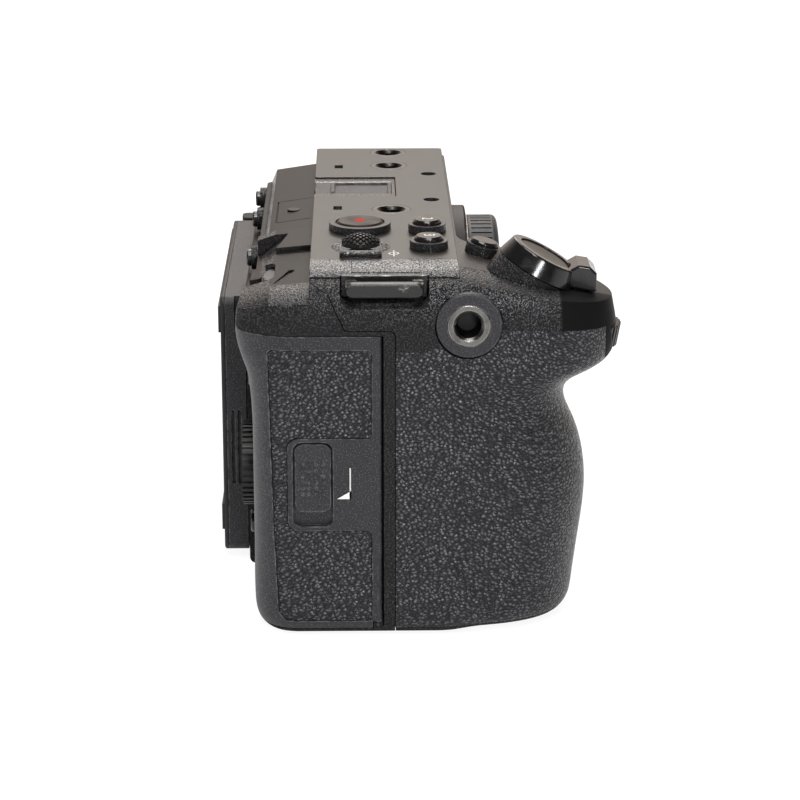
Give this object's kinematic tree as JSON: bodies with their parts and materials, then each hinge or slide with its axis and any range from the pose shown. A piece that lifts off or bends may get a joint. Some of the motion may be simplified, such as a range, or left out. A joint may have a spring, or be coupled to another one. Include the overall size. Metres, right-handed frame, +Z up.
{
  "type": "cinema camera",
  "caption": "Compact cinema camera body with a leatherette grip, flat threaded top plate, side-hinged monitor and capped lens mount.",
  "frame": {"origin": "mouth of the tripod socket in the base plane, under the lens axis", "axes": "+Z up, the lens looks along -Y, the grip is on the -X side"},
  "size_m": [0.13, 0.0867, 0.082],
  "materials": {
    "housing_paint": "coarse-grained black paint on a cast housing",
    "plate_paint": "sand-grained dark paint",
    "leatherette": "pebbled leatherette",
    "satin_plastic": "fine satin black",
    "cover_paint": "fine-grained black paint",
    "cap_plastic": "satin black moulding",
    "gloss_plastic": "glossy black",
    "button_satin": "dark grey satin",
    "knurled_plastic": "satin black with knurls",
    "inner_plastic": "plain black moulding",
    "battery_plastic": "dark grey",
    "bright_steel": "worn bright metal",
    "dark_steel": "blackened metal",
    "aluminium": "bare aluminium",
    "board": "green circuit board",
    "sensor_glass": "dark sensor under glass",
    "screen_glass": "black screen glass",
    "lamp_lens": "dark lamp lens"
  },
  "bodies": {
    "body": {"front_case": "housing_paint", "rear_case": "housing_paint", "top_plate": "plate_paint", "bottom_plate": "housing_paint", "side_panel": "housing_paint", "grip_leather": "leatherette", "strap_lugs": "dark_steel", "side_sockets": "bright_steel", "socket_bezels": "satin_plastic", "top_sockets": "bright_steel", "tripod_socket": "bright_steel", "shoe_rails": "dark_steel", "lens_mount_ring": "bright_steel", "mount_screws": "bright_steel", "lens_contacts": "inner_plastic", "image_sensor": "sensor_glass", "sensor_carriage": "aluminium", "main_board": "board", "heat_sink": "aluminium", "fan_housing": "inner_plastic", "battery_bay": "inner_plastic", "battery": "battery_plastic", "card_slots": "inner_plastic", "terminals": "inner_plastic", "case_screws": "dark_steel", "tally_lamp": "lamp_lens"},
    "cap": {"body_cap": "cap_plastic"},
    "shoe_cover": {"shoe_cover": "satin_plastic"},
    "rec_button": {"rec_button": "gloss_plastic"},
    "joystick_cradle": {"joystick_cradle": "inner_plastic"},
    "joystick": {"joystick": "knurled_plastic"},
    "button_1": {"button_1": "gloss_plastic"},
    "button_2": {"button_2": "gloss_plastic"},
    "button_3": {"button_3": "gloss_plastic"},
    "zoom_lever": {"zoom_lever": "gloss_plastic"},
    "shutter_button": {"shutter_button": "button_satin"},
    "front_dial": {"front_dial": "knurled_plastic"},
    "rear_dial": {"rear_dial": "knurled_plastic"},
    "control_wheel": {"control_wheel": "knurled_plastic"},
    "centre_button": {"centre_button": "gloss_plastic"},
    "menu_button": {"menu_button": "gloss_plastic"},
    "playback_button": {"playback_button": "gloss_plastic"},
    "custom_button": {"custom_button": "gloss_plastic"},
    "function_button": {"function_button": "gloss_plastic"},
    "delete_button": {"delete_button": "gloss_plastic"},
    "power_switch": {"power_switch": "satin_plastic"},
    "monitor": {"hinge_block": "satin_plastic", "monitor_housing": "satin_plastic", "monitor_cover": "cover_paint", "screen": "screen_glass"},
    "card_door": {"card_door": "satin_plastic", "door_leather": "leatherette"},
    "card_latch": {"card_latch": "satin_plastic"},
    "battery_door": {"battery_door": "satin_plastic"},
    "battery_latch": {"battery_latch": "satin_plastic"},
    "audio_cover": {"audio_cover": "satin_plastic"},
    "data_cover": {"data_cover": "satin_plastic"},
    "lens_release": {"lens_release_button": "gloss_plastic"},
    "lock_pin": {"lock_pin": "bright_steel"},
    "fan_rotor": {"fan_rotor": "inner_plastic"}
  },
  "joints": [
    {"name": "cap_twist", "type": "hinge", "parent": "body", "child": "cap", "pos_m": [0, -0.013, 0.0395], "axis": [0, -1, 0], "range_deg": [0, 60]},
    {"name": "shoe_cover_slide", "type": "slide", "parent": "body", "child": "shoe_cover", "axis": [0, 1, 0], "range_m": [0, 0.018]},
    {"name": "rec_press", "type": "slide", "parent": "body", "child": "rec_button", "axis": [0, 0, -1], "range_m": [0, 0.0007], "stiffness_N_per_m": 400, "springref_m": -0.001},
    {"name": "joystick_up_down", "type": "hinge", "parent": "body", "child": "joystick_cradle", "pos_m": [-0.058, 0.012, 0.073], "axis": [1, 0, 0], "range_deg": [-6, 6], "stiffness_Nm_per_rad": 0.02},
    {"name": "joystick_left_right", "type": "hinge", "parent": "joystick_cradle", "child": "joystick", "pos_m": [-0.058, 0.012, 0.073], "axis": [0, 1, 0], "range_deg": [-6, 6], "stiffness_Nm_per_rad": 0.02},
    {"name": "button_1_press", "type": "slide", "parent": "body", "child": "button_1", "axis": [0, 0.2588, -0.9659], "range_m": [0, 0.0007], "stiffness_N_per_m": 400, "springref_m": -0.001},
    {"name": "button_2_press", "type": "slide", "parent": "body", "child": "button_2", "axis": [0, 0, -1], "range_m": [0, 0.0007], "stiffness_N_per_m": 400, "springref_m": -0.001},
    {"name": "button_3_press", "type": "slide", "parent": "body", "child": "button_3", "axis": [0, 0, -1], "range_m": [0, 0.0007], "stiffness_N_per_m": 400, "springref_m": -0.001},
    {"name": "zoom_turn", "type": "hinge", "parent": "body", "child": "zoom_lever", "pos_m": [-0.066, -0.0267, 0.0781], "axis": [0, -0.4848, 0.8746], "range_deg": [-18, 18], "stiffness_Nm_per_rad": 0.05},
    {"name": "shutter_press", "type": "slide", "parent": "body", "child": "shutter_button", "axis": [0, 0.4848, -0.8746], "range_m": [0, 0.0007], "stiffness_N_per_m": 400, "springref_m": -0.001},
    {"name": "front_dial_turn", "type": "hinge", "parent": "body", "child": "front_dial", "pos_m": [-0.066, -0.0326, 0.0629], "axis": [0, -0.1736, 0.9848], "continuous": true},
    {"name": "rear_dial_turn", "type": "hinge", "parent": "body", "child": "rear_dial", "pos_m": [-0.056, 0.0236, 0.0671], "axis": [0, 0, 1], "continuous": true},
    {"name": "control_wheel_turn", "type": "hinge", "parent": "body", "child": "control_wheel", "pos_m": [-0.06, 0.0346, 0.0303], "axis": [0, 1, 0], "continuous": true},
    {"name": "centre_press", "type": "slide", "parent": "body", "child": "centre_button", "axis": [0, -1, 0], "range_m": [0, 0.0006], "stiffness_N_per_m": 400, "springref_m": -0.001},
    {"name": "menu_press", "type": "slide", "parent": "body", "child": "menu_button", "axis": [0, -1, 0], "range_m": [0, 0.0007], "stiffness_N_per_m": 400, "springref_m": -0.001},
    {"name": "playback_press", "type": "slide", "parent": "body", "child": "playback_button", "axis": [0, -1, 0], "range_m": [0, 0.0007], "stiffness_N_per_m": 400, "springref_m": -0.001},
    {"name": "custom_press", "type": "slide", "parent": "body", "child": "custom_button", "axis": [0, -1, 0], "range_m": [0, 0.0007], "stiffness_N_per_m": 400, "springref_m": -0.001},
    {"name": "function_press", "type": "slide", "parent": "body", "child": "function_button", "axis": [0, -1, 0], "range_m": [0, 0.0007], "stiffness_N_per_m": 400, "springref_m": -0.001},
    {"name": "delete_press", "type": "slide", "parent": "body", "child": "delete_button", "axis": [0, -1, 0], "range_m": [0, 0.0007], "stiffness_N_per_m": 400, "springref_m": -0.001},
    {"name": "power_slide", "type": "slide", "parent": "body", "child": "power_switch", "axis": [1, 0, 0], "range_m": [0, 0.005]},
    {"name": "monitor_swing", "type": "hinge", "parent": "body", "child": "monitor", "pos_m": [0.0402, 0.0389, 0.035], "axis": [0, 0, -1], "range_deg": [0, 176]},
    {"name": "card_door_swing", "type": "hinge", "parent": "body", "child": "card_door", "pos_m": [-0.0856, 0.0087, 0.034], "axis": [0, 0, 1], "range_deg": [0, 90]},
    {"name": "card_latch_slide", "type": "slide", "parent": "card_door", "child": "card_latch", "axis": [0, 0, -1], "range_m": [0, 0.003], "stiffness_N_per_m": 150, "springref_m": -0.002},
    {"name": "battery_door_swing", "type": "hinge", "parent": "body", "child": "battery_door", "pos_m": [-0.0657, 0.0236, 0.0011], "axis": [1, 0, 0], "range_deg": [0, 90]},
    {"name": "battery_latch_slide", "type": "slide", "parent": "battery_door", "child": "battery_latch", "axis": [1, 0, 0], "range_m": [0, 0.004], "stiffness_N_per_m": 150, "springref_m": -0.002},
    {"name": "audio_cover_swing", "type": "hinge", "parent": "body", "child": "audio_cover", "pos_m": [0.0423, -0.00195, 0.045], "axis": [0, 0, -1], "range_deg": [0, 90]},
    {"name": "data_cover_swing", "type": "hinge", "parent": "body", "child": "data_cover", "pos_m": [0.0423, -0.00195, 0.021], "axis": [0, 0, -1], "range_deg": [0, 90]},
    {"name": "lens_release_press", "type": "slide", "parent": "body", "child": "lens_release", "axis": [0, 1, 0], "range_m": [0, 0.0015], "stiffness_N_per_m": 400, "springref_m": -0.001},
    {"name": "lock_pin_draw", "type": "slide", "parent": "body", "child": "lock_pin", "axis": [0, 1, 0], "range_m": [0, 0.0015]},
    {"name": "fan_spin", "type": "hinge", "parent": "body", "child": "fan_rotor", "pos_m": [0.018, 0.0213, 0.033], "axis": [0, 1, 0], "continuous": true}
  ],
  "couplings": [
    {"joint": "lock_pin_draw", "follows": "lens_release_press", "ratio": 1}
  ]
}
